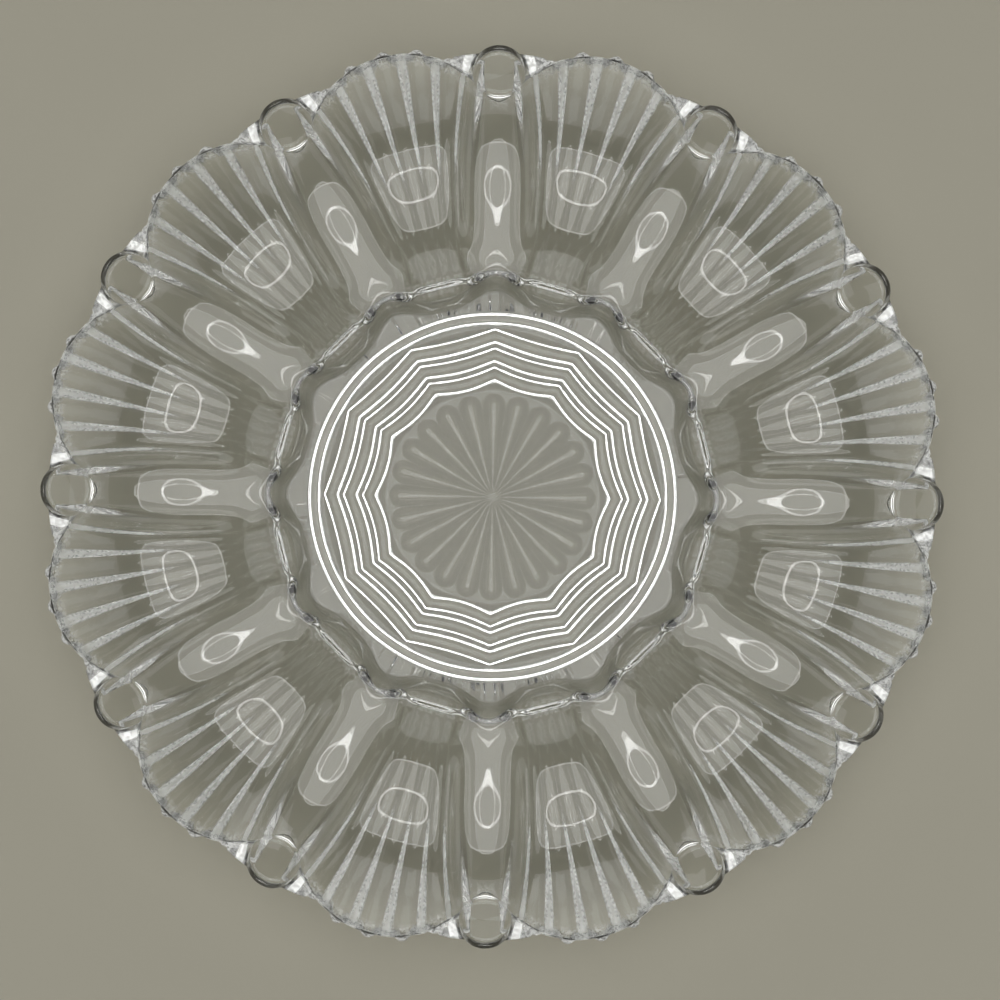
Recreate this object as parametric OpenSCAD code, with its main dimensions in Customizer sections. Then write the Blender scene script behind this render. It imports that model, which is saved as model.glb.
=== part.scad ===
// Pressed glass egg platter: ribbed shell wells in a ring round a flat starred centre.
// Heights are taken up from the table that the foot ring stands on.
// Each well is drawn along +X and turned to its place, and so are the ridges and coins.
// The first ridge and its coin lie on +Y, and the numbers run clockwise seen from above.

/* [Platter] */
// Number of egg wells, with a ridge and a coin between each two
well_count = 12; // [11:1:13]
// Thickness of the pressed wall, square to its face
wall_t = 4.4; // [3.8:0.1:5]

/* [Centre] */
// Radius of the flat centre, where the wells and ridges begin
floor_r = 54; // [50:0.5:58]
// Width of the flat that the wells and ridges carry on from the centre
floor_edge = 0.4; // [0.3:0.1:0.5]
// Height of the centre's upper face
floor_z = 6.6; // [6:0.1:7.4]
// Thickness of the flat centre
floor_t = 4.4; // [3.8:0.1:4.8]

/* [Foot ring] */
// How far the middle of the foot ring lies inside the centre's edge
foot_inset = 2.3; // [2:0.1:3.2]
// Width of the foot ring where it leaves the centre
foot_w = 3.4; // [2.6:0.1:3.8]
// Width of the flat that the platter stands on
foot_flat_w = 1.2; // [0.8:0.1:1.6]

/* [Star relief] */
// Number of star shaped reeds under the centre
reed_count = 3; // [1:1:3]
// Clear width between the star's points and the foot ring
star_clear = 1.1; // [0.6:0.1:1.6]
// How much further out a star line stands in line with a ridge
star_tip = 2.3; // [1.6:0.1:2.6]
// Width of a reed
reed_w = 4.2; // [3.4:0.1:4.4]
// Width of the groove between two reeds
reed_gap = 1.3; // [0.8:0.1:1.6]
// Depth of a reed below the centre's under face
reed_h = 1.5; // [0.9:0.1:1.7]
// Radius at which the sunburst ribs begin
burst_in_r = 3; // [2.5:0.1:6]
// Clear width between the sunburst and the inmost star line
burst_clear = 1.7; // [1.2:0.1:2.4]
// Width of a sunburst rib at its round end
burst_w = 6.2; // [5:0.1:6.4]
// Depth of a sunburst rib at its round end
burst_h = 1.2; // [0.7:0.1:1.5]

/* [Centre wall] */
// How far the wall's foot lies outside the centre's edge in line with a well
wall_inset = 1.6; // [1.5:0.1:3]
// How much further out the wall's foot stands in line with a ridge
wall_foot_tip = 4.4; // [3:0.1:5]
// Lean of the wall, up from level, in degrees
wall_slope = 66; // [60:1:72]
// Softness of the cove at the wall's foot
cove_soft = 1.2; // [0.6:0.1:2]
// Softness of the lip at the wall's top
lip_soft = 2.6; // [1.5:0.1:3.4]

/* [Wells] */
// Radius of the ring on which the wells are deepest
well_r = 88; // [85:0.5:91]
// Height of a well's deepest point inside
well_z = 5.6; // [5.4:0.1:7]
// Radius of the long curve of a well's floor
well_rad = 34; // [31:0.5:37]
// Slope of the well towards the centre, in degrees
well_in_slope = 32; // [28:1:36]
// Slope of the well towards the rim, in degrees
well_out_slope = 50; // [45:1:53]
// Rise of the well's floor from its middle to its side
well_side_rise = 2.6; // [1.8:0.1:3.4]

/* [Ribs] */
// Number of full ribs under a well
rib_count = 5; // [4:1:5]
// Angle between two grooves at the centre wall, in degrees
rib_in_angle = 2.75; // [2.6:0.05:2.9]
// Angle between two grooves at the rim, in degrees
rib_out_angle = 4.45; // [4.2:0.05:4.6]
// Half width of a groove at the centre wall
groove_half_in = 0.35; // [0.25:0.05:0.5]
// Half width of a groove at the rim
groove_half_out = 1.9; // [1.4:0.05:2]
// Upright depth of a groove at the centre wall
groove_rise_in = 0.05; // [0.05:0.05:0.3]
// Upright depth of a groove at the rim
groove_rise_out = 2.2; // [1.4:0.1:2.6]
// How far from the rim's outside a groove ends
groove_end = 1.6; // [1.4:0.1:2.4]
// How far from the rim's outside the two outmost grooves of a well end
side_groove_end = 2.6; // [2.2:0.1:3.6]
// Crown of a rib below its grooves' edges at the centre wall
crown_in = 0.2; // [0.1:0.05:0.3]
// Crown of a rib at the rim
crown_out = 0.7; // [0.4:0.05:1]

/* [Ridges] */
// Radius of the ring on which the ridges are lowest
ridge_r = 83; // [81:0.5:86]
// Height of a ridge's top at its lowest
ridge_z = 12; // [11:0.1:13]
// Radius of the ridge's long curve towards the centre
ridge_in_rad = 200; // [150:5:260]
// Radius of the ridge's long curve towards the rim
ridge_out_rad = 41; // [38:0.5:46]
// Radius of the ridge's crown from side to side
ridge_cross_rad = 30; // [24:0.5:36]

/* [Rim] */
// Radius of the inner rim line in line with a well
rim_r = 123.7; // [121:0.1:126]
// Radius of the arc that the rim follows round a well
rim_arc_rad = 28.7; // [27:0.1:31]
// Radius of the rounded corner in which two such arcs meet, inside a coin
rim_corner_rad = 2.2; // [1.4:0.1:3]
// Width of the flat edge that runs along the rim line
rim_flat = 1.1; // [0.8:0.1:1.2]
// How far the rim stands beyond the rim line between two knobs
rim_reach = 1.5; // [1.4:0.1:2]
// How far a knob, the round end of a rib, stands beyond the rim line
knob_reach = 3.3; // [2.6:0.1:4]
// How far the band beside a coin ends inside the radius of the rim line
band_inset = 0.3; // [0:0.1:0.8]
// Bulge of the rim's outer face
rim_bulge = 0.5; // [0.2:0.1:0.7]

/* [Coins] */
// Diameter of a coin
coin_d = 14.6; // [13.6:0.1:15.4]
// Thickness of a coin
coin_t = 5.4; // [4.8:0.1:6]
// How far the middles of the coins' top faces lie inside the rim line
coin_inset = 7.4; // [6.7:0.1:8.1]
// Lean of a coin, up towards the rim, in degrees
coin_tilt = 38; // [34:1:42]
// How far a coin's face stands proud of the ridge
coin_proud = 0.3; // [0.1:0.1:0.6]
// Radius of a coin's rounded edges
coin_edge = 1.3; // [0.8:0.1:1.6]

/* [Hidden] */
glass = [0.80, 0.82, 0.77];
pitch = 360 / well_count;
half = pitch / 2;
under_z = floor_z - floor_t;
flat_r = floor_r + floor_edge;
foot_r = floor_r - foot_inset;
wall_foot_r = floor_r + wall_inset;
coin_r = rim_r - coin_inset;
band_r = rim_r - band_inset;
overrun = 1;
// Radius of the inmost star line in line with a well
star_band_w = reed_count * reed_w + (reed_count - 1) * reed_gap;
star_r = foot_r - foot_w / 2 - star_clear - star_tip - star_band_w;
// Radius at which the round ends of the sunburst ribs begin
burst_out_r = star_r - burst_clear - burst_w / 2;
burst_count = 2 * well_count;
// Points of a column on the rim's outer face
rim_points = 2;

// Powers that set how late the ribs fan out and their grooves open
fan_power = 2.2;
groove_power = 5;
// Slope to the well's circle at which the rim's arcs come to a corner
corner_slope = 1.4;
// Length over which a groove runs out at its end
groove_end_run = 1.4;
// Powers that set how square a ridge's sides are, above and below
side_power = 8;
under_side_power = 5;
// Share of the wall by which the channel under a ridge is narrower on each side
channel_share = 0.78;
// Share of the wall by which the centre wall's under foot stands further out
under_foot_share = 0.6;
// Share of the star's reach that sharpens its points
point_share = 0.1;

// Rows of the upper face: a share of the wall's run, then a share of the way to the rim
wall_run = (ridge_z - under_z) / tan(wall_slope);
top_row_shares = [
    [-0.1, 0], [0.35, 0], [0.75, 0], [1.1, 0],
    [1.1, 0.14], [1.1, 0.32], [1.1, 0.52], [1.1, 0.75], [1.1, 1]
];
// Rows of the under face in the same terms
under_row_shares = [
    [0.55, 0], [0.9, 0], [1.25, 0],
    [1.25, 0.24], [1.25, 0.48], [1.25, 0.7], [1.25, 0.87], [1.25, 1]
];
// Shares of a well's half width for the columns of its upper face
well_column_shares = [-1, -0.9, -0.68, -0.35, 0, 0.35, 0.68, 0.9, 1];
// Shares of a ridge's half width for its columns
ridge_column_shares = [-1, -0.52, 0, 0.52, 1];
// Straight pieces along one side of a star and across one reed
star_steps = 3;
reed_steps = 4;
// Straight pieces along one rounded side of the foot ring
foot_steps = 5;
// Straight pieces across a sunburst rib, and the share of its round end at which that is split
burst_steps = 5;
burst_end_share = 0.55;

function node_name(kind, k) = str(kind, "_", k < 10 ? "0" : "", k);
function polar(r, a, z) = [r * cos(a), r * sin(a), z];
function arc_deg(length, r) = length / r * 180 / PI;
function soft_max(a, b, soft) = (a + b + sqrt(pow(a - b, 2) + pow(soft, 2))) / 2;
function soft_min(a, b, soft) = (a + b - sqrt(pow(a - b, 2) + pow(soft, 2))) / 2;

// Height above the bottom of an arc that runs on as a straight slope
function arc_slope(x, rad, slope) =
    abs(x) < rad * sin(slope)
        ? rad - sqrt(rad * rad - x * x)
        : rad * (1 - cos(slope)) + (abs(x) - rad * sin(slope)) * tan(slope);

// 0 at the centre wall and 1 at the rim
function reach(r) = max(0, (r - floor_r) / (rim_r - floor_r));
function grow(inner, outer, r, power) = inner + (outer - inner) * pow(reach(r), power);
function rib_angle(r) = grow(rib_in_angle, rib_out_angle, r, fan_power);
function groove_half(r) = grow(groove_half_in, groove_half_out, r, groove_power);
function groove_rise(r) = grow(groove_rise_in, groove_rise_out, r, groove_power);
function crown(r) = grow(crown_in, crown_out, r, fan_power);

// A column follows a rib: it is a place in groove spacings and in groove half widths
function column_a(column, r) =
    column[0] * rib_angle(r) + column[1] * arc_deg(groove_half(r), r);
edge_column = [rib_count / 2, 1];
function edge_a(r) = column_a(edge_column, r);

// The rim line is an arc round each well, with a rounded corner between two arcs
rim_arc_r = rim_r - rim_arc_rad;
function rim_line(a) =
    let (off = rim_r * sin(half - abs(a)))
    rim_arc_r * cos(a) + sqrt(pow(rim_arc_rad, 2) - pow(rim_arc_r * sin(a), 2))
    + corner_slope * (norm([off, rim_corner_rad]) - off);
function settle(r, turns) = turns == 0 ? r : settle(rim_line(edge_a(r)), turns - 1);
edge_rim_r = settle(rim_r, 12);

// Foot of the centre wall: a star with rounded points in line with the ridges
function wall_foot(a) =
    let (turn = 180 * a / half)
    wall_foot_r + wall_foot_tip
        * ((1 - cos(turn)) / 2 - point_share * (1 - cos(2 * turn)));

// Faces of the wall, the well and the ridge, each sunk by t square to itself
function wall_face(r, a, t) =
    (r - wall_foot(a) - under_foot_share * t) * tan(wall_slope);
function well_face(r, a, t) =
    well_z - t
    + arc_slope(r - well_r, well_rad + t, r < well_r ? well_in_slope : well_out_slope)
    + well_side_rise * pow(a / edge_a(well_r), 2);
function ridge_face(r, d, t) =
    let (rad = (r < ridge_r ? ridge_in_rad : ridge_out_rad) + t)
    ridge_z - t + arc_slope(r - ridge_r, rad, well_out_slope)
    - d * d / (2 * (ridge_cross_rad - t));
function body_face(r, a, t, power) =
    let (
        d = r * sin(half - abs(a)),
        w = r * sin(half - edge_a(r)) - channel_share * t,
        s = 1 / (1 + pow(d / w, power))
    )
    s * ridge_face(r, d, t) + (1 - s) * well_face(r, a, t);
function top_z(r, a) =
    r <= flat_r ? floor_z : soft_min(
        soft_max(floor_z, floor_z + wall_face(r, a, 0), cove_soft),
        body_face(r, a, 0, side_power), lip_soft);
function bottom_z(r, a) =
    r <= flat_r ? under_z : soft_min(
        soft_max(under_z, under_z + wall_face(r, a, wall_t), cove_soft),
        body_face(r, a, wall_t, under_side_power), lip_soft);

// Radius of a row that keeps in step with the wall's foot and the rim
function row_r(row, a_in, end_r, extra) =
    let (start = wall_foot(a_in) + row[0] * wall_run)
    start + row[1] * (end_r + extra - start);

// Triangles between the index rings a and b, which run side by side
function stitch(a, b, i = 0, j = 0) =
    let (n = len(a) - 1, m = len(b) - 1)
    i == n && j == m ? [] :
    j == m || (i < n && (i + 1) * m <= (j + 1) * n)
        ? concat([[a[i], a[i + 1], b[j]]], stitch(a, b, i + 1, j))
        : concat([[a[i], b[j + 1], b[j]]], stitch(a, b, i, j + 1));
function flip(faces) = [for (f = faces) [f[0], f[2], f[1]]];
function sheet(rows, first, columns) = [
    for (i = [0:columns - 2], j = [0:rows - 2])
        let (p = first + i * rows + j)
        each [[p, p + rows, p + rows + 1], [p, p + rows + 1, p + 1]]
];

// Closed wall between an upper sheet and an under one that runs on round the rim, by columns
module pressed_wall(top, under) {
    tc = len(top);
    tr = len(top[0]);
    uc = len(under);
    ur = len(under[0]);
    under_at = tc * tr;
    function top_row(j) = [for (i = [0:tc - 1]) i * tr + j];
    function under_row(j) = [for (i = [0:uc - 1]) under_at + i * ur + j];
    function side(i, k) = concat(
        stitch(
            [for (j = [0:tr - 1]) i * tr + j],
            [for (j = [0:ur - 1 - rim_points]) under_at + k * ur + j]),
        stitch(
            [i * tr + tr - 1],
            [for (j = [ur - 1 - rim_points:ur - 1]) under_at + k * ur + j]));
    polyhedron(
        points = concat([for (c = top) each c], [for (c = under) each c]),
        faces = concat(
            sheet(tr, 0, tc),
            flip(sheet(ur, under_at, uc)),
            flip(stitch(top_row(0), under_row(0))),
            stitch(top_row(tr - 1), under_row(ur - 1)),
            side(0, 0),
            flip(side(tc - 1, uc - 1))));
}

// The rim's outer face, from the end q of the under face up to the edge at p
function rim_face(q, p, a) = [
    (p + q) / 2 + rim_bulge * polar(cos(well_out_slope), a, sin(well_out_slope)), p
];

// The two outmost columns on each side of a well lie beside a ridge
function is_beside_ridge(column) = abs(column[0]) > (rib_count - 1) / 2;

// How far the under face reaches beyond the rim line at one of a well's columns
function end_reach(column, line_r) =
    let (reach = rim_reach + (knob_reach - rim_reach) * column[4])
    is_beside_ridge(column) ? max(reach, band_r - line_r) : reach;

// How far a groove rises into the under face, or a rib's crown hangs below it
function relief(column, r, a) =
    let (
        end_r = rim_line(a) + rim_reach - (is_beside_ridge(column) ? side_groove_end : groove_end),
        left = min(1, max(0, (end_r - r) / groove_end_run + 1))
    )
    column[2] * left * groove_rise(r) - column[3] * crown(r);

// Columns under a well: each groove's two edges and bottom, and two along each rib's crown.
// After its place, a column has its shares of the groove's rise, the crown and the knob.
rib_columns = [
    for (i = [0:rib_count])
        let (m = i - rib_count / 2)
        each concat(
            [[m, -1, 0, 0, 0], [m, 0, 1, 0, 0], [m, 1, 0, 0, 0]],
            i < rib_count ? [[m + 1 / 3, 1 / 3, 0, 8 / 9, 1], [m + 2 / 3, -1 / 3, 0, 8 / 9, 1]] : [])
];

module egg_well(k) {
    function top_point(share, row) =
        let (
            column = edge_column * share,
            end_r = rim_line(column_a(column, edge_rim_r)),
            r = row_r(row, column_a(column, floor_r), end_r, 0),
            a = column_a(column, r)
        )
        polar(r, a, top_z(r, a));
    function under_point(column, row) =
        let (
            end_r = rim_line(column_a(column, edge_rim_r)),
            extra = end_reach(column, end_r),
            r = row_r(row, column_a(column, floor_r), end_r, extra),
            a = column_a(column, r)
        )
        polar(r, a, bottom_z(r, a) + relief(column, r, a));
    function edge_point(column) =
        let (a = column_a(column, edge_rim_r), r = rim_line(a))
        polar(r + rim_flat, a, top_z(r, a));
    function under_column(column) = concat(
        [inner_point(column, under_z)],
        [polar(flat_r, column_a(column, flat_r), under_z)],
        [for (row = under_row_shares) under_point(column, row)]);
    function inner_point(column, z) =
        polar(floor_r - overrun, column_a(column, floor_r), z);
    top = [
        for (share = well_column_shares)
            concat(
                [inner_point(edge_column * share, floor_z)],
                [polar(flat_r, column_a(edge_column * share, flat_r), floor_z)],
                [for (row = top_row_shares) top_point(share, row)])
    ];
    under = [
        for (column = rib_columns)
            let (under_face = under_column(column))
            concat(under_face, rim_face(
                under_face[len(under_face) - 1], edge_point(column), column_a(column, edge_rim_r)))
    ];
    color(glass)
    rotate(90 - (k - 1 / 2) * pitch)
    difference() {
        pressed_wall(top, under);
        translate([0, 0, -overrun])
            cylinder(r = floor_r, h = floor_z + 2 * overrun, $fn = 360);
    }
}

// Place of a coin: the middle of its upper face
coin_in_r = coin_r - coin_d / 2 * cos(coin_tilt);
coin_z = ridge_face(coin_in_r, 0, 0) + coin_proud + coin_d / 2 * sin(coin_tilt);

module at_coin() {
    translate([coin_r, 0, coin_z])
        rotate([0, -coin_tilt, 0])
            children();
}

module ridge(k) {
    // Angle from the well's axis for a share of the ridge's half width
    function ridge_a(share, r) = half - abs(share) * (half - edge_a(r));
    function turn(share, r) = share * (half - edge_a(r));
    function end_r(share) = rim_line(ridge_a(share, edge_rim_r));
    function face_point(share, row, extra, below) =
        let (
            r = row_r(row, ridge_a(share, floor_r), end_r(share), extra),
            a = ridge_a(share, r)
        )
        polar(r, turn(share, r), below ? bottom_z(r, a) : top_z(r, a));
    function column(share, rows, extra, z, below) = concat(
        [polar(floor_r - overrun, turn(share, floor_r), z)],
        [polar(flat_r, turn(share, flat_r), z)],
        [for (row = rows) face_point(share, row, extra, below)]);
    top = [
        for (share = ridge_column_shares)
            column(share, top_row_shares, 0, floor_z, false)
    ];
    under = [
        for (share = ridge_column_shares)
            let (
                line_r = end_r(share),
                under_face = column(share, under_row_shares, band_r - line_r, under_z, true),
                a = turn(share, edge_rim_r)
            )
            concat(under_face, rim_face(
                under_face[len(under_face) - 1],
                polar(line_r + rim_flat, a, top_z(line_r, half - abs(a))), a))
    ];
    color(glass)
    rotate(90 - (k - 1) * pitch)
    difference() {
        pressed_wall(top, under);
        translate([0, 0, -overrun])
            cylinder(r = floor_r, h = floor_z + 2 * overrun, $fn = 360);
        at_coin()
            translate([0, 0, -3 * coin_t])
                cylinder(d = coin_d, h = 6 * coin_t, $fn = 180);
    }
}

module rim_coin(k) {
    r = coin_d / 2;
    color(glass)
    rotate(90 - (k - 1) * pitch)
    at_coin()
        translate([0, 0, -coin_t])
            rotate_extrude($fn = 180) {
                square([r - coin_edge, coin_t]);
                translate([0, coin_edge])
                    square([r, coin_t - 2 * coin_edge]);
                for (z = [coin_edge, coin_t - coin_edge])
                    translate([r - coin_edge, z])
                        circle(r = coin_edge, $fn = 48);
            }
}

module centre_disc() {
    color(glass)
    translate([0, 0, under_z])
        cylinder(r = floor_r, h = floor_t, $fn = 360);
}

module foot_ring() {
    side = [
        for (i = [0:foot_steps])
            let (t = 90 * i / foot_steps)
            [foot_flat_w / 2 + (foot_w - foot_flat_w) / 2 * sin(t), under_z * (1 - cos(t))]
    ];
    color(glass)
    rotate_extrude($fn = 360)
        translate([foot_r, 0])
            polygon(concat(
                side,
                [for (i = [foot_steps:-1:0]) [-side[i][0], side[i][1]]]));
}

// A rib of the sunburst is a soft wave below, widens from the centre and ends round
module sunburst_ribs() {
    // Stations along a rib: radius, half width and share of the round end
    stations = [
        [burst_in_r, burst_w / 2 * burst_in_r / burst_out_r, 0],
        [burst_out_r, burst_w / 2, 0],
        [burst_out_r + burst_end_share * burst_w / 2, burst_w / 2, burst_end_share]
    ];
    n = burst_steps + 1;
    last = len(stations) - 1;
    tip = len(stations) * n;
    function at(i, j) = i * n + j % n;
    function wave(off) = (1 + cos(180 * off)) / 2;
    points = concat(
        [for (s = stations, j = [0:burst_steps])
            let (
                side = sqrt(1 - s[2] * s[2]) * (1 - 2 * j / burst_steps),
                off = min(1, norm([side, s[2]]))
            )
            [s[0], s[1] * side, under_z - burst_h * 2 * s[1] / burst_w * wave(off)]],
        [[burst_out_r + burst_w / 2, 0, under_z]]);
    faces = concat(
        [[for (j = [burst_steps:-1:0]) at(0, j)]],
        [for (i = [0:last - 1], j = [0:burst_steps])
            each [
                [at(i, j), at(i, j + 1), at(i + 1, j + 1)],
                [at(i, j), at(i + 1, j + 1), at(i + 1, j)]
            ]],
        [for (j = [0:burst_steps]) [at(last, j), at(last, j + 1), tip]]);
    color(glass)
    for (k = [0:burst_count - 1])
        rotate(k * 360 / burst_count)
            polyhedron(points = points, faces = faces);
}

// A reed is a half round band between two star lines
module star_reed(k) {
    steps = star_steps * well_count;
    inner = star_r + (k - 1) * (reed_w + reed_gap);
    function star_line(base, a) = base + star_tip * pow(a / half, 2);
    ring = [
        for (i = [0:steps - 1])
            let (
                a = i * 360 / steps,
                off = half - abs(half - (a + half) % pitch),
                r = star_line(inner, off)
            )
            [for (j = [0:reed_steps])
                let (b = 180 * j / reed_steps)
                polar(r + reed_w * (1 - cos(b)) / 2, a, under_z - reed_h * sin(b))]
    ];
    rows = reed_steps + 1;
    function at(i, j) = (i % steps) * rows + j % rows;
    color(glass)
    rotate(90 + half)
        polyhedron(
            points = [for (c = ring) each c],
            faces = [
                for (i = [0:steps - 1], j = [0:rows - 1])
                    each [
                        [at(i, j), at(i, j + 1), at(i + 1, j + 1)],
                        [at(i, j), at(i + 1, j + 1), at(i + 1, j)]
                    ]
            ]);
}

centre_disc();
foot_ring();
sunburst_ribs();
for (k = [1:reed_count])
    star_reed(k);
for (k = [1:well_count])
    egg_well(k);
for (k = [1:well_count])
    ridge(k);
for (k = [1:well_count])
    rim_coin(k);
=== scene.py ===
# %% [markdown]
# # A pressed glass egg platter
#
# The real platter is one pressing of clear soda-lime glass. A plunger forms the smooth upper face and a
# mould forms the ribs, reeds and foot ring under it, so everything that sparkles in the glass is relief on
# the under face, seen through the thickness. That decides how it is made here: one closed mesh with a true
# upper face, a true under face and a real thickness between them. A render can only bend light through it
# if nothing is left open and nothing crosses inside.

# %% Load the fixed frame
import math

import bmesh
import bpy
import numpy as np
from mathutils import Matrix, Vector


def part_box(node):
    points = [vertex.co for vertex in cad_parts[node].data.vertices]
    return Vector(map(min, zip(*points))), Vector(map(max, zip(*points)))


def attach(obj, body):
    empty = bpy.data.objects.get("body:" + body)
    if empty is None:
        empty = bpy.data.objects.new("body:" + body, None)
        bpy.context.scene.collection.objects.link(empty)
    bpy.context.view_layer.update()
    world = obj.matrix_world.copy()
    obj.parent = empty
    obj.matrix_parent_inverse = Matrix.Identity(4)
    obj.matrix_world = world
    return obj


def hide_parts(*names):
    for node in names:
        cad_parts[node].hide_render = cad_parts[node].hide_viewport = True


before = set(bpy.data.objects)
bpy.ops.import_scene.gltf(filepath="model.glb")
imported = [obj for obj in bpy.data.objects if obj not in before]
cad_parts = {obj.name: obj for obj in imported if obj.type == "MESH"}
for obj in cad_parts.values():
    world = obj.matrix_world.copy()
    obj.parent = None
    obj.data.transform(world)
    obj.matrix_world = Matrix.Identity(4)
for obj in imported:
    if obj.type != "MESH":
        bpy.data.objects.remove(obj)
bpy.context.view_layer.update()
MM = 0.001

# %% [markdown]
# ## Small helpers
#
# Colours are easier to judge as sRGB hex values, but shaders want linear light, so one function turns one
# into the other. A second one adds a shader node with its settings and links, and a third starts a material
# without nodes. That keeps every material below a short list of what it is made of.


# %% Colours and shader nodes
def linear(hex_colour):
    channels = [int(hex_colour[i:i + 2], 16) / 255 for i in (1, 3, 5)]
    lit = [c / 12.92 if c <= 0.04045 else ((c + 0.055) / 1.055) ** 2.4 for c in channels]
    return (*lit, 1.0)


def add_node(tree, kind, links=None, values=None, **settings):
    made = tree.nodes.new(kind)
    for name, value in settings.items():
        setattr(made, name, value)
    for name, value in (values or {}).items():
        made.inputs[name].default_value = value
    for name, source in (links or {}).items():
        tree.links.new(source, made.inputs[name])
    return made


def new_material(name):
    made = bpy.data.materials.new(name)
    made.use_nodes = True
    made.node_tree.nodes.clear()
    return made


print("mid grey is", [round(c, 3) for c in linear("#808080")[:3]], "in linear light")

# %% [markdown]
# ## The view
#
# The picture was taken from straight above with a phone, about half a metre away. A coin's face is about
# 27 mm above the table, so it looks larger and farther out than it would on the table, and by how much gives
# the camera's height. The platter sits a little left of the middle and is turned by one degree, so the camera
# is turned and moved by that much instead of the platter.

# %% Camera
CAMERA_HEIGHT = 0.520
FOCAL_PIXELS = 1781
HALF_FRAME_PIXELS = 500
CENTRE_LEFT_PIXELS = 7.5
CENTRE_UP_PIXELS = 3
TURN = math.radians(0.95)

camera_data = bpy.data.cameras.new("overhead_camera")
camera_data.angle = 2 * math.atan(HALF_FRAME_PIXELS / FOCAL_PIXELS)
camera_data.clip_end = 50
camera = bpy.data.objects.new("overhead_camera", camera_data)
bpy.context.scene.collection.objects.link(camera)
pixel = CAMERA_HEIGHT / FOCAL_PIXELS
across, up = CENTRE_LEFT_PIXELS * pixel, -CENTRE_UP_PIXELS * pixel
camera.location = (
    across * math.cos(TURN) - up * math.sin(TURN),
    across * math.sin(TURN) + up * math.cos(TURN),
    CAMERA_HEIGHT)
camera.rotation_euler = (0, 0, TURN)
bpy.context.scene.camera = camera
print("field of view:", round(math.degrees(camera_data.angle), 1), "degrees")

# %% [markdown]
# ## Sizes of the pressing
#
# These are the driving sizes of the platter in millimetres and degrees. The flat centre, the foot ring and
# the under face are measured on the frame. The rest repeats the sizes that the solids were made from, so
# the glass stays where the solids are. Only fine forms differ: the floor of a well is flatter across, the
# grooves are sharper and deepen a little sooner, the knobs are narrower, a low bead runs along the rim, and
# the ribs of the sunburst are wider with a soft crest.

# %% Sizes measured on the frame
disc_low, disc_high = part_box("centre_disc")
ring_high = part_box("foot_ring")[1]
FLOOR_R = disc_high.x / MM
FLOOR_Z = disc_high.z / MM
UNDER_Z = disc_low.z / MM
FOOT_OUT_R = ring_high.x / MM
FOOT_W = 3.4
FOOT_FLAT_W = 1.2
print("centre radius", round(FLOOR_R, 2), "top", round(FLOOR_Z, 2), "under", round(UNDER_Z, 2))

# %% Sizes of the wells, ridges and rim
WELLS = 12
HALF = 180 / WELLS
FLOOR_EDGE = 0.4
FLAT_R = FLOOR_R + FLOOR_EDGE
WALL_T = 4.4
WALL_FOOT_OUT = 1.6
WALL_FOOT_R = FLOOR_R + WALL_FOOT_OUT
WALL_FOOT_TIP = 4.4
WALL_SLOPE = 66
COVE_SOFT = 1.2
LIP_SOFT = 2.6
WELL_R = 88
WELL_Z = 5.6
WELL_RAD = 34
WELL_IN_SLOPE = 32
WELL_OUT_SLOPE = 50
WELL_SIDE_RISE = 1.0
RIDGE_R = 83
RIDGE_Z = 12
RIDGE_IN_RAD = 200
RIDGE_OUT_RAD = 41
RIDGE_CROSS_RAD = 30
RIM_R = 123.7
RIM_ARC_RAD = 28.7
CORNER_SLOPE = 1.4
RIM_CORNER_RAD = 2.2
RIM_FLAT = 1.1
RIM_BEAD = 0.5
RIM_BULGE = 0.5
RIM_REACH = 1.5
KNOB_REACH = 3.3
KNOB_SHARE = 0.66
BAND_R = 123.4
SIDE_POWER = 8
UNDER_SIDE_POWER = 5
CHANNEL_SHARE = 0.78
UNDER_FOOT_SHARE = 0.6
POINT_SHARE = 0.1
print("a well's slope is", WELL_OUT_SLOPE, "degrees, the wall's", WALL_SLOPE)

# %% Sizes of the ribs under a well, at the wall and at the rim
RIBS = 5
RIB_ANGLE = (2.75, 4.45)
GROOVE_HALF = (0.35, 1.9)
GROOVE_RISE = (0.05, 2.2)
GROOVE_FLAT = 0.06
GROOVE_END = (1.6, 2.6)
GROOVE_END_RUN = 1.4
CROWN = (0.2, 0.7)
FAN_POWER = 2.2
GROOVE_POWER = 4
print("grooves are up to", 2 * GROOVE_HALF[1], "mm wide and", GROOVE_RISE[1], "mm deep")

# %% [markdown]
# ## The form as heights
#
# Seen from above, every point of the upper and the under face has one height. So each face is a function of
# radius and angle: the well is a long arc that runs on as a straight slope, the ridge is a saddle, and a soft
# minimum and maximum round the cove and the lip where they meet the centre wall. The same functions serve
# both faces, the under one sunk by the wall's thickness square to the surface.


# %% Round and blend
def sin(a):
    return np.sin(np.radians(a))


def cos(a):
    return np.cos(np.radians(a))


def tan(a):
    return np.tan(np.radians(a))


def soft_max(a, b, soft):
    return (a + b + np.hypot(a - b, soft)) / 2


def soft_min(a, b, soft):
    return (a + b - np.hypot(a - b, soft)) / 2


def arc_slope(x, rad, slope):
    x = np.abs(x)
    turn = rad * sin(slope)
    arc = rad - np.sqrt(np.maximum(rad * rad - np.minimum(x, turn) ** 2, 0))
    return arc + np.maximum(x - turn, 0) * tan(slope)


def grow(ends, r, power):
    reach = np.maximum(0, (r - FLOOR_R) / (RIM_R - FLOOR_R))
    return ends[0] + (ends[1] - ends[0]) * reach ** power


def groove_deg(r):
    return np.degrees(grow(GROOVE_HALF, r, GROOVE_POWER) / r)


def edge_angle(r):
    return RIBS / 2 * grow(RIB_ANGLE, r, FAN_POWER) + groove_deg(r)


print("a well is", round(float(2 * edge_angle(100.0)), 1), "degrees wide at a radius of 100 mm")


# %% Faces of the wall, the wells and the ridges
def wall_foot(a):
    turn = 180 * a / HALF
    return WALL_FOOT_R + WALL_FOOT_TIP * ((1 - cos(turn)) / 2 - POINT_SHARE * (1 - cos(2 * turn)))


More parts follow.
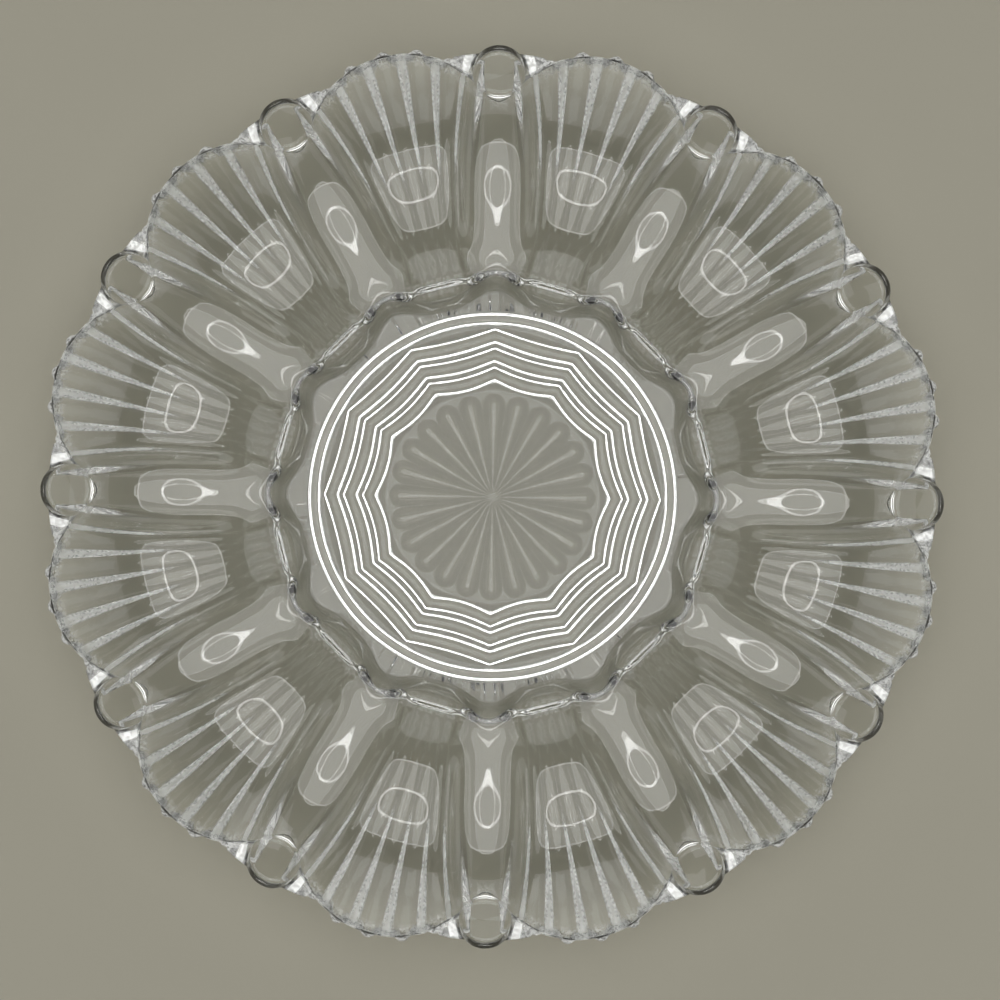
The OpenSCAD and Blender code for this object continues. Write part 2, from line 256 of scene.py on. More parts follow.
def body_face(r, a, t, power):
    d = r * sin(HALF - np.abs(a))
    well_slope = np.where(r < WELL_R, WELL_IN_SLOPE, WELL_OUT_SLOPE)
    well = WELL_Z - t + arc_slope(r - WELL_R, WELL_RAD + t, well_slope)
    well = well + WELL_SIDE_RISE * (a / edge_angle(WELL_R)) ** 2
    ridge_rad = np.where(r < RIDGE_R, RIDGE_IN_RAD, RIDGE_OUT_RAD) + t
    ridge = RIDGE_Z - t + arc_slope(r - RIDGE_R, ridge_rad, WELL_OUT_SLOPE)
    ridge = ridge - d * d / (2 * (RIDGE_CROSS_RAD - t))
    width = r * sin(HALF - edge_angle(r)) - CHANNEL_SHARE * t
    s = 1 / (1 + (d / width) ** power)
    return s * ridge + (1 - s) * well


def face_height(r, a, base, t, power):
    wall = (r - wall_foot(a) - UNDER_FOOT_SHARE * t) * tan(WALL_SLOPE)
    height = soft_min(soft_max(base, base + wall, COVE_SOFT), body_face(r, a, t, power), LIP_SOFT)
    return np.where(r <= FLAT_R, base, height)


def top_height(r, a):
    return face_height(r, a, FLOOR_Z, 0, SIDE_POWER)


def under_height(r, a):
    return face_height(r, a, UNDER_Z, WALL_T, UNDER_SIDE_POWER)


print("well floor:", round(float(top_height(WELL_R, 0)), 1), "mm high, ridge:",
      round(float(top_height(RIDGE_R, HALF)), 1), "mm")


# %% Rim line
def rim_line(a):
    inner = RIM_R - RIM_ARC_RAD
    arc = inner * cos(a) + np.sqrt(RIM_ARC_RAD ** 2 - (inner * sin(a)) ** 2)
    off = RIM_R * sin(HALF - np.abs(a))
    return arc + CORNER_SLOPE * (np.hypot(off, RIM_CORNER_RAD) - off)


# The rim line meets the edge of a well at this radius, found by trying the last answer again.
EDGE_TRIES = 12
rim_edge_r = RIM_R
for _ in range(EDGE_TRIES):
    rim_edge_r = float(rim_line(edge_angle(rim_edge_r)))
print("rim radius: wells", round(float(rim_line(0)), 1), "ridges", round(float(rim_line(HALF)), 1))

# %% [markdown]
# ## Columns that follow the ribs
#
# A grid of straight radial columns would cut across the ribs, because they fan out towards the rim, and the
# grooves would come out ragged. So each column of the mesh follows one line along a rib: a groove's bottom,
# its flanks, its edges or a rib's crown. A column is a place counted in rib spacings and in half groove
# widths, and its angle is worked out afresh at each radius. Under a ridge, a column is a share of the
# ridge's half width.


# %% Columns of one well and its two half ridges
def groove_profile(x):
    flank = np.clip((1 - np.abs(x)) / (1 - GROOVE_FLAT), 0, 1)
    return flank * flank * (3 - 2 * flank)


def well_columns(groove_steps, rib_steps, ridge_steps):
    """Rows of: ridge share, place in spacings, place in half grooves, groove depth, crown height, knob."""
    table = []
    for i in range(RIBS + 1):
        m = i - RIBS / 2
        for g in np.linspace(-1, 1, groove_steps):
            table.append((0, m, g, groove_profile(g), 0, 0))
        if i < RIBS:
            for t in np.linspace(0, 1, rib_steps + 2)[1:-1]:
                x = 2 * t - 1
                knob = max(0, 1 - (x / KNOB_SHARE) ** 2) ** 0.5
                table.append((0, m + t, -x, 0, 1 - x * x, knob))
    shares = np.linspace(0, 1, ridge_steps + 1)[1:]
    after = [(s, RIBS / 2, 1, 0, 0, 0) for s in shares[:-1]]
    before = [(-s, -RIBS / 2, -1, 0, 0, 0) for s in shares[::-1]]
    return np.array(before + table + after)


def column_angle(columns, r):
    share = np.abs(columns[:, 0])
    place = columns[:, 1] * grow(RIB_ANGLE, r, FAN_POWER) + columns[:, 2] * groove_deg(r)
    ridge = np.sign(columns[:, 0]) * (edge_angle(r) + share * (HALF - edge_angle(r)))
    return np.where(share > 0, ridge, place)


def plain_columns(well_steps, ridge_steps):
    """Even columns for a smooth face, in the same terms."""
    shares = np.linspace(-1, 1, well_steps)
    table = [(0, s * RIBS / 2, s, 0, 0, 0) for s in shares]
    ridge = np.linspace(0, 1, ridge_steps + 1)[1:]
    after = [(s, RIBS / 2, 1, 0, 0, 0) for s in ridge[:-1]]
    before = [(-s, -RIBS / 2, -1, 0, 0, 0) for s in ridge[::-1]]
    return np.array(before + table + after)


TOP_COLUMNS = plain_columns(15, 9)
UNDER_COLUMNS = well_columns(9, 9, 10)
print("columns per well:", len(TOP_COLUMNS), "above,", len(UNDER_COLUMNS), "below")

# %% [markdown]
# ## A mesh made of rings
#
# All rings run once round the platter, so the mesh is built by adding a ring of points and bridging it to the
# last one. Where a ring has more points than its neighbour, the two are stitched with triangles in order of
# their angles. Made this way the surface closes by itself.


# %% Rings, bridges and stitches
points = []
faces = []
ring_angles = {}


def add_ring(r, angle, z):
    r, angle, z = np.broadcast_arrays(r, angle, z)
    first = len(points)
    points.extend(zip(r * cos(angle), r * sin(angle), z))
    ring = list(range(first, len(points)))
    ring_angles[first] = np.array(angle, dtype=float)
    return ring


def bridge(a, b):
    if len(a) != len(b):
        stitch(a, b)
        return
    for i in range(len(a)):
        j = (i + 1) % len(a)
        faces.append((a[i], a[j], b[j], b[i]))


def stitch(a, b):
    turn_a = ring_angles[a[0]]
    turn_b = ring_angles[b[0]]
    i = 0
    j = 0
    while i < len(a) or j < len(b):
        next_a = turn_a[(i + 1) % len(a)] + 360 * ((i + 1) // len(a))
        next_b = turn_b[(j + 1) % len(b)] + 360 * ((j + 1) // len(b))
        if j == len(b) or (i < len(a) and next_a <= next_b):
            faces.append((a[i % len(a)], a[(i + 1) % len(a)], b[j % len(b)]))
            i += 1
        else:
            faces.append((a[i % len(a)], b[(j + 1) % len(b)], b[j % len(b)]))
            j += 1


print("points and faces so far:", len(points), "and", len(faces))

# %% Whole rings from one well's row of points
well_turns = 2 * HALF * np.arange(WELLS) + HALF


def whole_ring(r, z, angle):
    """Repeats one well's row of points round the platter."""
    z = np.broadcast_to(z, angle.shape)
    return add_ring(
        np.tile(r, WELLS), (well_turns[:, None] + angle[None, :]).ravel(), np.tile(z, WELLS))


print("a row of points is repeated at", [float(turn) for turn in well_turns[:3]], "degrees and on")


# %% [markdown]
# ## Upper face
#
# The plunger leaves this face smooth, so even columns are enough. Rows crowd together on the cove and the
# lip, where the face turns quickly, and spread out over the long slope of the well.

# %% Rows from the centre wall to the rim
WALL_RUN = (RIDGE_Z - UNDER_Z) / tan(WALL_SLOPE)
TOP_WALL_SHARES = np.linspace(-0.2, 1.5, 20)
UNDER_WALL_SHARES = np.linspace(0.3, 1.9, 14)
TOP_STEPS = 30
UNDER_STEPS = 44


def rows(wall_shares, way_steps):
    steep = [(s, 0.0) for s in wall_shares]
    long = [(wall_shares[-1], w) for w in np.linspace(0, 1, way_steps + 1)[1:]]
    return steep + long


def row_radius(columns, row, extra):
    start_a = column_angle(columns, np.full(len(columns), FLOOR_R))
    start = wall_foot(start_a) + row[0] * WALL_RUN
    end = rim_line(column_angle(columns, np.full(len(columns), rim_edge_r)))
    return start + row[1] * (end + extra - start)


def top_ring(columns, row):
    r = row_radius(columns, row, 0)
    a = column_angle(columns, r)
    return whole_ring(r, top_height(r, a), a)


floor_edge_r = np.full(len(TOP_COLUMNS), FLOOR_R)
top_rings = [whole_ring(floor_edge_r, FLOOR_Z, column_angle(TOP_COLUMNS, floor_edge_r))]
for row in rows(TOP_WALL_SHARES, TOP_STEPS)[:-1]:
    top_rings.append(top_ring(TOP_COLUMNS, row))
for inner, outer in zip(top_rings, top_rings[1:]):
    bridge(inner, outer)
faces.append(tuple(top_rings[0]))
print("upper face:", len(points), "points in", len(top_rings), "rings")

# %% [markdown]
# ## Under face and rim
#
# The ribs are pressed into this face. Each groove between them is a V with a round bottom and steep flanks.
# Those are what flashes black and white in the glass, because light is totally reflected in them. At the rim
# each rib ends in a rounded knob that stands out past the smooth upper edge. The rim itself starts with a low
# bead on the upper face and then bulges round to the end of the rib.


# %% Relief under a well
def beside_coin(columns):
    """True from the crown of a well's outermost rib on, towards the coin."""
    return np.abs(columns[:, 1]) > RIBS / 2 - 0.5


def relief(columns, r, a):
    """Grooves cut up into the glass, less the crowns of the ribs, which hang down."""
    end = np.where(beside_coin(columns), GROOVE_END[1], GROOVE_END[0])
    left = np.clip((rim_line(np.clip(a, -HALF, HALF)) + RIM_REACH - end - r) / GROOVE_END_RUN + 1, 0, 1)
    groove = columns[:, 3] * grow(GROOVE_RISE, r, GROOVE_POWER) * left * left * (3 - 2 * left)
    crown = columns[:, 4] * grow(CROWN, r, FAN_POWER)
    return groove - crown


def end_reach(columns):
    """How far the rib ends and the band beside a coin stand out past the rim line."""
    line = rim_line(column_angle(columns, np.full(len(columns), rim_edge_r)))
    knob = RIM_REACH + (KNOB_REACH - RIM_REACH) * columns[:, 5]
    return np.where(beside_coin(columns), np.maximum(knob, BAND_R - line), knob)


def under_points(row):
    r = row_radius(UNDER_COLUMNS, row, end_reach(UNDER_COLUMNS))
    a = column_angle(UNDER_COLUMNS, r)
    return r, a, under_height(r, a) + relief(UNDER_COLUMNS, r, a)


rib_end = under_points((1, 1.0))
print("the ends of the ribs reach", round(float(rib_end[0].max()), 1), "mm from the middle")

# %% Rows of the under face, from beside the foot ring to the rim
FOOT_CLEAR = 0.6
under_rows = rows(UNDER_WALL_SHARES, UNDER_STEPS)
flat_a = column_angle(UNDER_COLUMNS, np.full(len(UNDER_COLUMNS), FLOOR_R))
under_rings = [whole_ring(np.full(len(UNDER_COLUMNS), r), UNDER_Z, flat_a)
               for r in (FOOT_OUT_R + FOOT_CLEAR, FLOOR_R)]
under_rings += [whole_ring(r, z, a) for r, a, z in map(under_points, under_rows)]
for inner, outer in zip(under_rings, under_rings[1:]):
    bridge(inner, outer)
print("under face:", sum(len(ring) for ring in under_rings), "points")

# %% Rounded rim
BEAD_SHARES = (0.1, 0.3, 0.5, 0.7, 0.9)
RIM_STEPS = 8
last_r, last_a, last_z = under_points(under_rows[-1])
rim_r = row_radius(UNDER_COLUMNS, (1, 1.0), 0)
rim_a = column_angle(UNDER_COLUMNS, rim_r)
rim_z = top_height(rim_r, rim_a)
rim_rings = [whole_ring(rim_r, rim_z, rim_a)]
for share in BEAD_SHARES:
    bead_z = rim_z + RIM_BEAD * sin(180 * share)
    rim_rings.append(whole_ring(rim_r + share * RIM_FLAT, bead_z, rim_a))
for toward in np.linspace(0, 1, RIM_STEPS + 1)[:-1]:
    bulge = RIM_BULGE * sin(180 * toward)
    r = rim_r + RIM_FLAT + (last_r - rim_r - RIM_FLAT) * toward + bulge * cos(WELL_OUT_SLOPE)
    z = rim_z + (last_z - rim_z) * toward + bulge * sin(WELL_OUT_SLOPE)
    rim_rings.append(whole_ring(r, z, rim_a + (last_a - rim_a) * toward))
rim_rings.append(under_rings[-1])
bridge(top_rings[-1], rim_rings[0])
for inner, outer in zip(rim_rings, rim_rings[1:]):
    bridge(inner, outer)
print("rim stands", round(float(rim_z.max()), 1), "mm high inside")

# %% [markdown]
# ## Relief under the centre
#
# Three half-round reeds run round the middle as twelve-pointed stars, and twenty-four low ribs make the
# sunburst inside them. A rib's section is a roof with a soft crest, which gathers the light into one bright
# line. Both are relief on the same under face, so they are heights as well. The reeds need few columns but
# the sunburst needs columns that follow its ribs' edges, so the two meet in a stitch on the flat ring between
# them.

# %% Sizes of the relief
REEDS = 3
STAR_R = 31.4
STAR_TIP = 2.3
REED_W = 4.2
REED_GAP = 1.3
REED_H = 1.5
BURSTS = 24
BURST_OUT_R = 26.6
BURST_W = 6.9
BURST_H = 1.2
BURST_CREST = 0.45
STAR_CLEAR = 1
print("star:", REEDS, "reeds; sunburst:", BURSTS, "ribs", BURST_W, "mm wide at their ends")

# %% Foot ring, a quarter of an ellipse on each side of its flat
FOOT_STEP = 0.1
FOOT_R = FOOT_OUT_R - FOOT_W / 2
foot_side = [(FOOT_FLAT_W / 2 + (FOOT_W - FOOT_FLAT_W) / 2 * float(np.sqrt(1 - s * s)), UNDER_Z * (1 - s))
             for s in np.sin(np.radians(np.linspace(0, 90, 11)))]
foot_profile = [(FOOT_OUT_R + FOOT_CLEAR - FOOT_STEP, UNDER_Z)] + [(FOOT_R + x, z) for x, z in foot_side]
foot_profile += [(FOOT_R - x, z) for x, z in reversed(foot_side)]
foot_profile += [(FOOT_R - FOOT_W / 2 - FOOT_CLEAR - FOOT_STEP, UNDER_Z)]
reed_columns = np.arange(0, 360, 2.5)
centre_rings = [add_ring(r, reed_columns, z) for r, z in foot_profile]
print("foot ring:", len(foot_profile), "rings, flat at a radius of", round(FOOT_R, 1))

# %% Star reeds, from the outermost in
star_off = HALF - np.abs(HALF - (reed_columns + HALF) % (2 * HALF))
star_tip = STAR_TIP * (star_off / HALF) ** 2
for k in reversed(range(REEDS)):
    base = STAR_R + k * (REED_W + REED_GAP)
    for turn in np.linspace(0, 180, 11):
        x = REED_W * (1 + cos(turn)) / 2
        centre_rings.append(add_ring(base + x + star_tip, reed_columns, UNDER_Z - REED_H * sin(turn)))
print("rings from the foot to the star:", len(centre_rings))

# %% Sunburst ribs
BURST_HALF_DEG = math.degrees(math.asin(BURST_W / 2 / BURST_OUT_R))
burst_pitch = 360 / BURSTS
side_shares = np.array([0, 0.12, 0.25, 0.4, 0.6, 0.8, 0.92, 1])
side = np.concatenate([side_shares * BURST_HALF_DEG, [burst_pitch / 2]])
one_rib = np.concatenate([-side[:0:-1], side[:-1]])
burst_columns = (burst_pitch * np.arange(BURSTS)[:, None] + one_rib[None, :]).ravel()
burst_off = np.tile(one_rib, BURSTS)


def burst_height(r):
    """A roof over each rib's width, its ridge softened, lower towards the middle and round at its end."""
    width = BURST_W / 2 * min(r, BURST_OUT_R) / BURST_OUT_R
    beyond = max(0, r - BURST_OUT_R)
    along = r * np.sin(np.radians(burst_off))
    off = np.minimum(1, np.hypot(along / width, beyond / (BURST_W / 2)))
    drop = (np.hypot(off, BURST_CREST) - BURST_CREST) / (math.hypot(1, BURST_CREST) - BURST_CREST)
    return UNDER_Z - BURST_H * (2 * width / BURST_W) * (1 - drop)


end_turns = np.linspace(90, 0, 8)[:-1]
burst_radii = list(BURST_OUT_R + BURST_W / 2 * sin(end_turns)) + list(np.linspace(BURST_OUT_R, 1, 16))
flat_ring = add_ring(STAR_R - STAR_CLEAR, burst_columns, UNDER_Z)
burst_rings = [flat_ring] + [add_ring(r, burst_columns, burst_height(r)) for r in burst_radii]
for outer, inner in zip(centre_rings, centre_rings[1:]):
    bridge(outer, inner)
bridge(centre_rings[-1], burst_rings[0])
for outer, inner in zip(burst_rings, burst_rings[1:]):
    bridge(outer, inner)
faces.append(tuple(reversed(burst_rings[-1])))
bridge(under_rings[0], centre_rings[0])
print("all:", len(points), "points and", len(faces), "faces")

# %% [markdown]
# ## From points to one closed glass body
#
# The coins are round pads that lean in the rim, one over each ridge. They are turned from one profile and
# then joined to the pressing. A boolean union does that as the mould does it: it cuts away what lies inside
# the other body and leaves one skin.


# %% Mesh objects
def mesh_object(name, mesh_points, mesh_faces):
    data = bpy.data.meshes.new(name)
    data.from_pydata([tuple(float(v) * MM for v in p) for p in mesh_points], [], mesh_faces)
    data.update()
    made = bpy.data.objects.new(name, data)
    bpy.context.scene.collection.objects.link(made)
    work = bmesh.new()
    work.from_mesh(data)
    bmesh.ops.recalc_face_normals(work, faces=work.faces)
    work.to_mesh(data)
    open_edges = sum(not edge.is_manifold for edge in work.edges)
    work.free()
    data.shade_smooth()
    print(name, len(data.vertices), "points,", len(data.polygons), "faces,", open_edges, "open edges")
    return made


glass = mesh_object("platter_glass", points, faces)

# %% Coins on the rim
COIN_D = 14.6
COIN_T = 5.4
COIN_IN = 7.4
COIN_R = RIM_R - COIN_IN
COIN_TILT = 38
COIN_PROUD = 0.3
COIN_EDGE = 1.3
COIN_STEPS = 80

coin_in_r = COIN_R - COIN_D / 2 * cos(COIN_TILT)
ridge_top = RIDGE_Z + float(arc_slope(coin_in_r - RIDGE_R, RIDGE_OUT_RAD, WELL_OUT_SLOPE))
coin_z = ridge_top + COIN_PROUD + COIN_D / 2 * sin(COIN_TILT)
coin_profile = [(COIN_D / 2 - COIN_EDGE + COIN_EDGE * float(sin(t)), -COIN_EDGE + COIN_EDGE * float(cos(t)))
                for t in np.linspace(0, 90, 9)]
coin_profile += [(x, -COIN_T - z) for x, z in reversed(coin_profile)]
print("coin:", COIN_D, "mm across,", COIN_T, "mm thick, leaning", COIN_TILT, "degrees")

# %% Turn the coins
coin_points = []
coin_faces = []
for k in range(WELLS):
    turn = 2 * HALF * k
    first = len(coin_points)
    for x, z in coin_profile:
        for spin in np.linspace(0, 360, COIN_STEPS, endpoint=False):
            flat_x = x * cos(spin)
            out = COIN_R + flat_x * cos(COIN_TILT) - z * sin(COIN_TILT)
            side = x * sin(spin)
            height = coin_z + flat_x * sin(COIN_TILT) + z * cos(COIN_TILT)
            coin_x = out * cos(turn) - side * sin(turn)
            coin_y = out * sin(turn) + side * cos(turn)
            coin_points.append((coin_x, coin_y, height))
    for i in range(len(coin_profile) - 1):
        for j in range(COIN_STEPS):
            low = first + i * COIN_STEPS + j
            near = first + i * COIN_STEPS + (j + 1) % COIN_STEPS
            coin_faces.append((low, near, near + COIN_STEPS, low + COIN_STEPS))
    coin_faces.append(tuple(first + j for j in range(COIN_STEPS)))
    end = first + (len(coin_profile) - 1) * COIN_STEPS
    coin_faces.append(tuple(end + j for j in reversed(range(COIN_STEPS))))
coins = mesh_object("coins", coin_points, coin_faces)
print("coin face middle at", round(float(coin_z), 1), "mm")

# %% [markdown]
# ## Pressed soda-lime glass
#
# Soda-lime glass has an index of refraction of 1.52. Where the plunger and mould touched it, the skin is
# fire polished, but it is never flat: it carries a long, very low ripple from chilling, which makes
# reflections swim a little. The mould was cut by hand at the rib ends and in the deep grooves, and there the
# skin keeps a stipple that scatters the light. So it looks frosted, and where the stipple is dense it is pale
# and hardly clear. Ripple and stipple are bumps here, because they are only microns high, and the stipple
# follows a value stored on the mesh. Its grain is drawn coarser than the real one, so that it shows.

# %% Ripple and stipple
RIPPLE_LENGTH = 14
RIPPLE_HEIGHT = 0.06
STIPPLE_GRAIN = 0.9
STIPPLE_HEIGHT = 0.25
FROST_ROUGHNESS = 0.4
pressed_glass = new_material("pressed_soda_lime_glass")
tree = pressed_glass.node_tree
place = add_node(tree, "ShaderNodeTexCoord")
ripple = add_node(
    tree, "ShaderNodeTexNoise", {"Vector": place.outputs["Object"]},
    {"Scale": 1 / (RIPPLE_LENGTH * MM), "Detail": 2.0, "Roughness": 0.45})
stipple = add_node(
    tree, "ShaderNodeTexNoise", {"Vector": place.outputs["Object"]},
    {"Scale": 1 / (STIPPLE_GRAIN * MM), "Detail": 3.0, "Roughness": 0.6})
zone = add_node(tree, "ShaderNodeAttribute", attribute_name="stipple")
ripple_bump = add_node(
    tree, "ShaderNodeBump", {"Height": ripple.outputs["Fac"]},
    {"Strength": 1.0, "Distance": RIPPLE_HEIGHT * MM})
stipple_bump = add_node(
    tree, "ShaderNodeBump",
    {"Height": stipple.outputs["Fac"], "Strength": zone.outputs["Fac"],
     "Normal": ripple_bump.outputs["Normal"]},
    {"Distance": STIPPLE_HEIGHT * MM})
print("ripple", RIPPLE_LENGTH, "mm long; stipple grain", STIPPLE_GRAIN, "mm")

# %% Frosted and clear skin
frost = add_node(
    tree, "ShaderNodeMapRange", {"Value": zone.outputs["Fac"]}, {"To Min": 0.0, "To Max": FROST_ROUGHNESS})
speck = add_node(
    tree, "ShaderNodeMapRange", {"Value": stipple.outputs["Fac"]},
    {"From Min": 0.4, "From Max": 0.56, "To Min": 0.3, "To Max": 1.0})
pale = add_node(
    tree, "ShaderNodeMath", {0: zone.outputs["Fac"], 1: speck.outputs["Result"]}, operation="MULTIPLY")
clear = add_node(
    tree, "ShaderNodeMapRange", {"Value": pale.outputs["Value"]}, {"To Min": 1.0, "To Max": 0.0})
skin = add_node(
    tree, "ShaderNodeBsdfPrincipled",
    {"Roughness": frost.outputs["Result"], "Normal": stipple_bump.outputs["Normal"],
     "Transmission Weight": clear.outputs["Result"]},
    {"Base Color": linear("#FDFEFC"), "IOR": 1.52})
add_node(tree, "ShaderNodeOutputMaterial", {"Surface": skin.outputs["BSDF"]})
print("glass nodes:", len(tree.nodes))

# %% Join the coins and finish the edges
coin_mark = bpy.data.materials.new("coin_mark")
glass.data.materials.append(pressed_glass)
coins.data.materials.append(coin_mark)
join = glass.modifiers.new("coins", "BOOLEAN")
join.operation = "UNION"
join.solver = "MANIFOLD"
join.object = coins
join.material_mode = "TRANSFER"
glass.data = bpy.data.meshes.new_from_object(glass.evaluated_get(bpy.context.evaluated_depsgraph_get()))
glass.modifiers.clear()
bpy.data.objects.remove(coins)
work = bmesh.new()
work.from_mesh(glass.data)
seams = 0
for edge in work.edges:
    kinds = {face.material_index for face in edge.link_faces}
    edge.smooth = len(kinds) == 1
    seams += len(kinds) > 1
for face in work.faces:
    face.material_index = 0
    face.smooth = True
print("joined:", len(work.faces), "faces,", seams, "seam edges,",
      sum(not edge.is_manifold for edge in work.edges), "open edges")
work.to_mesh(glass.data)
work.free()
glass.data.materials.clear()
glass.data.materials.append(pressed_glass)
glass.data.name = "platter_glass"
bpy.data.materials.remove(coin_mark)


# %% Where the skin is stippled
STIPPLE_START_R = 94
STIPPLE_RUN = 8
STIPPLE_DEPTH = 1
GROOVE_STIPPLE_W = 0.9
GROOVE_STIPPLE_FADE = 0.3
RIM_STIPPLE = 0.5
RIM_STIPPLE_FADE = 0.4
CORNER_STIPPLE = 0.25
CORNER_START_DEG = 9.8
COIN_CLEAR = 0.1


def stipple_zone(x, y, z):
    """1 in the middle of a deep groove, up to a half on the rim's outer edge, 0 on the coins."""
    r = np.hypot(x, y)
    a = (np.degrees(np.arctan2(y, x)) % (2 * HALF)) - HALF
    beyond = np.clip((r - rim_line(np.clip(a, -HALF, HALF)) - RIM_FLAT) / RIM_STIPPLE_FADE, 0, 1)
    beyond = beyond * (CORNER_STIPPLE + (RIM_STIPPLE - CORNER_STIPPLE)
                       * np.clip(CORNER_START_DEG - np.abs(a), 0, 1))
    spacing = grow(RIB_ANGLE, r, FAN_POWER)
    nearest = np.clip(np.round(a / spacing - 0.5) + 0.5, -RIBS / 2, RIBS / 2)
    off = np.abs(a - nearest * spacing) / np.maximum(groove_deg(r), 0.01)
    deep = np.clip(top_height(r, a) - z - STIPPLE_DEPTH, 0, 1)
    middle = np.clip((GROOVE_STIPPLE_W - off) / GROOVE_STIPPLE_FADE, 0, 1)
    groove = middle * deep * np.clip((r - STIPPLE_START_R) / STIPPLE_RUN, 0, 1)
    lean = (r - COIN_R) * cos(COIN_TILT) + (z - coin_z) * sin(COIN_TILT)
    side = r * sin(np.abs(a) - HALF)
    coin = np.hypot(lean, side) < COIN_D / 2 + COIN_CLEAR
    return np.where(coin, 0, np.maximum(beyond, groove))


spots = np.empty(len(glass.data.vertices) * 3)
glass.data.vertices.foreach_get("co", spots)
x, y, z = spots.reshape(-1, 3).T / MM
stippled = stipple_zone(x, y, z)
mask = glass.data.attributes.new("stipple", "FLOAT", "POINT")
mask.data.foreach_set("value", stippled.astype(np.float32))
print("stippled points:", int((stippled > 0.1).sum()))

# %% [markdown]
# ## One glass body for many solids
#
# The frame divides the pressing into many solids, so that each form can be measured. The real platter shows
# no joins, and a joint inside clear glass would be seen. So this one mesh stands for all of them, and it
# rides on the one rigid body that they make.

# %% The glass stands for every solid of the frame
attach(glass, "root")
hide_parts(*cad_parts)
print("solids replaced:", len(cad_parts))

# %% [markdown]
# ## The table
#
# A smooth, matt, warm grey board. It fills the view, and all that the clear glass can show is this board,
# bent, and the light above it. The board lies a tenth of a millimetre below the foot, because two faces in
# one plane flicker in a render. Its mottle is a hand's width wide, and its grain is that of rolled paint.

# %% Table top
TABLE_R = 6.0
TABLE_BELOW = 0.1
MOTTLE_LENGTH = 120
GRAIN_LENGTH = 1.5
board = new_material("matt_painted_board")
tree = board.node_tree
place = add_node(tree, "ShaderNodeTexCoord")
mottle = add_node(
    tree, "ShaderNodeTexNoise", {"Vector": place.outputs["Object"]},
    {"Scale": 1 / (MOTTLE_LENGTH * MM), "Detail": 4.0})
tone = add_node(tree, "ShaderNodeMix", {"Factor": mottle.outputs["Fac"]}, data_type="RGBA")
tone.inputs[6].default_value = linear("#898679")
tone.inputs[7].default_value = linear("#8E8B7E")
grain = add_node(
    tree, "ShaderNodeTexNoise", {"Vector": place.outputs["Object"]},
    {"Scale": 1 / (GRAIN_LENGTH * MM), "Detail": 2.0})
grain_bump = add_node(
    tree, "ShaderNodeBump", {"Height": grain.outputs["Fac"]}, {"Strength": 0.3, "Distance": 0.05 * MM})
paint = add_node(
    tree, "ShaderNodeBsdfPrincipled",
    {"Base Color": tone.outputs[2], "Normal": grain_bump.outputs["Normal"]},
    {"Roughness": 0.85, "Specular IOR Level": 0.3})
add_node(tree, "ShaderNodeOutputMaterial", {"Surface": paint.outputs["BSDF"]})

bpy.ops.mesh.primitive_circle_add(
    vertices=128, radius=TABLE_R, fill_type="NGON", location=(0, 0, -TABLE_BELOW * MM))
table = bpy.context.object
table.name = "table_top"
table.data.materials.append(board)
print("table radius:", TABLE_R, "m")

# %% [markdown]
# ## Light
#
# Clear glass has no colour of its own to light. What it shows is the shape of the light itself, so that
# shape matters more than its strength: here it is one wide, soft ceiling panel with a brighter edge, and a
# thin bright ring hangs in its middle, above the camera. Each well mirrors both as two outlines, one in the
# other. The panel and the rings are given as angles seen from the platter, because a lamp lights the table
# by its radiance times the squared sine of that angle. All shares together come to about 1, so that a
# colour renders about as it is written.

# %% Ceiling panel
PANEL_HEIGHT = 3.0
PANEL_EDGE_DEG = 37
PANEL_RADIANCE = 1.9
panel_r = PANEL_HEIGHT * math.tan(math.radians(PANEL_EDGE_DEG))
panel_data = bpy.data.lights.new("ceiling_panel", "AREA")
panel_data.shape = "DISK"
panel_data.size = 2 * panel_r
panel_data.energy = PANEL_RADIANCE * math.pi * math.pi * panel_r ** 2
panel = bpy.data.objects.new("ceiling_panel", panel_data)
panel.location = (0, 0, PANEL_HEIGHT)
panel.visible_camera = False
bpy.context.scene.collection.objects.link(panel)
print("panel radius:", round(panel_r, 2), "m, energy:", round(panel_data.energy), "W, share:",
      round(PANEL_RADIANCE * math.sin(math.radians(PANEL_EDGE_DEG)) ** 2, 2))

# %% Rings of light
RING_STEPS = 128
PANEL_RIM = {"in_deg": PANEL_EDGE_DEG, "out_deg": 38.3, "height": 2.98, "radiance": 5.0}
LENS_RING = {"in_deg": 13.5, "out_deg": 15.5, "height": 0.9, "radiance": 8.0}


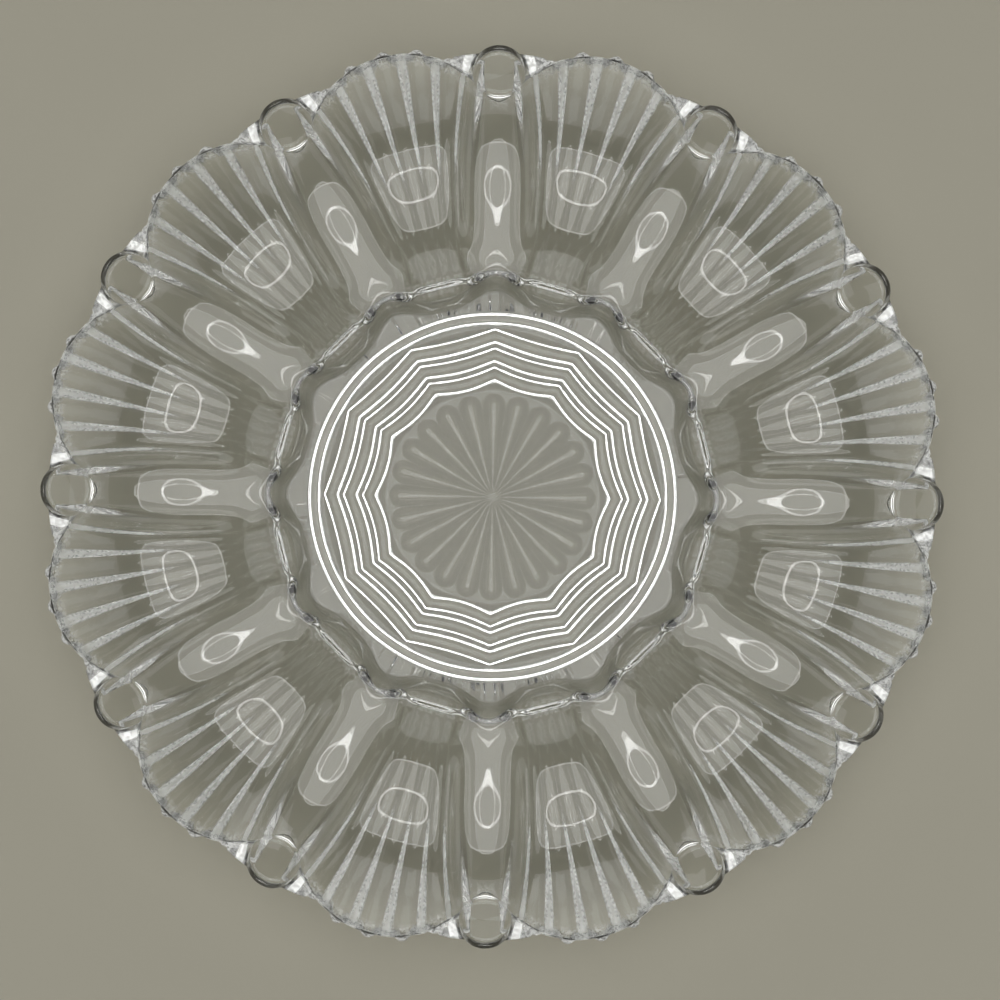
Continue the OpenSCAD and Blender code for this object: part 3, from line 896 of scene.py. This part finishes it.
def lit_ring(name, in_deg, out_deg, height, radiance):
    """A flat ring that glows evenly, its edges given as angles off the axis, seen from the platter."""
    ring_points = []
    for edge in (in_deg, out_deg):
        edge_r = height * math.tan(math.radians(edge))
        ring_points += [(edge_r * float(cos(spin)), edge_r * float(sin(spin)), height)
                        for spin in np.linspace(0, 360, RING_STEPS, endpoint=False)]
    ring_faces = [(i, (i + 1) % RING_STEPS, RING_STEPS + (i + 1) % RING_STEPS, RING_STEPS + i)
                  for i in range(RING_STEPS)]
    data = bpy.data.meshes.new(name)
    data.from_pydata(ring_points, [], ring_faces)
    glow = new_material(name)
    even = add_node(glow.node_tree, "ShaderNodeEmission", values={"Strength": radiance})
    add_node(glow.node_tree, "ShaderNodeOutputMaterial", {"Surface": even.outputs["Emission"]})
    data.materials.append(glow)
    made = bpy.data.objects.new(name, data)
    made.visible_camera = False
    bpy.context.scene.collection.objects.link(made)
    share = radiance * (math.sin(math.radians(out_deg)) ** 2 - math.sin(math.radians(in_deg)) ** 2)
    print(name, "share:", round(share, 2))


lit_ring("panel_edge_light", **PANEL_RIM)
lit_ring("lens_ring_light", **LENS_RING)

# %% [markdown]
# Four pale walls stand round the table. They light it little, but the flanks of the grooves, the coins and
# the rim bend the view out to them, and so show white where they meet a wall and dark where they meet a gap
# between two. The walls differ a little, as those of a room with one window do.

# %% Pale walls
WALL_AWAY = 3.0
WALL_WIDTH = 3.4
WALL_LOW = 0.05
WALL_HIGH = 1.7
WALL_GLOW = {
    "front_wall": (0, 1.0), "right_wall": (90, 0.8), "back_wall": (180, 1.3), "left_wall": (270, 1.0)}

for name, (turn, radiance) in WALL_GLOW.items():
    wall_data = bpy.data.lights.new(name, "AREA")
    wall_data.shape = "RECTANGLE"
    wall_data.size = WALL_WIDTH
    wall_data.size_y = WALL_HIGH - WALL_LOW
    wall_data.energy = radiance * math.pi * wall_data.size * wall_data.size_y
    wall = bpy.data.objects.new(name, wall_data)
    wall.location = (WALL_AWAY * float(sin(turn)), -WALL_AWAY * float(cos(turn)), (WALL_LOW + WALL_HIGH) / 2)
    wall.rotation_euler = (math.radians(90), 0, math.radians(turn))
    wall.visible_camera = False
    bpy.context.scene.collection.objects.link(wall)
print("walls:", len(WALL_GLOW), "each", WALL_WIDTH, "m wide")

# %% Dim room and plain view transform
ROOM_STRENGTH = 0.4
world = bpy.data.worlds.new("dim_room")
world.use_nodes = True
world.node_tree.nodes.clear()
air = add_node(
    world.node_tree, "ShaderNodeBackground", values={"Color": linear("#8C8A82"), "Strength": ROOM_STRENGTH})
add_node(world.node_tree, "ShaderNodeOutputWorld", {"Surface": air.outputs["Background"]})
bpy.context.scene.world = world
bpy.context.scene.view_settings.view_transform = "Standard"
print("world:", world.name)
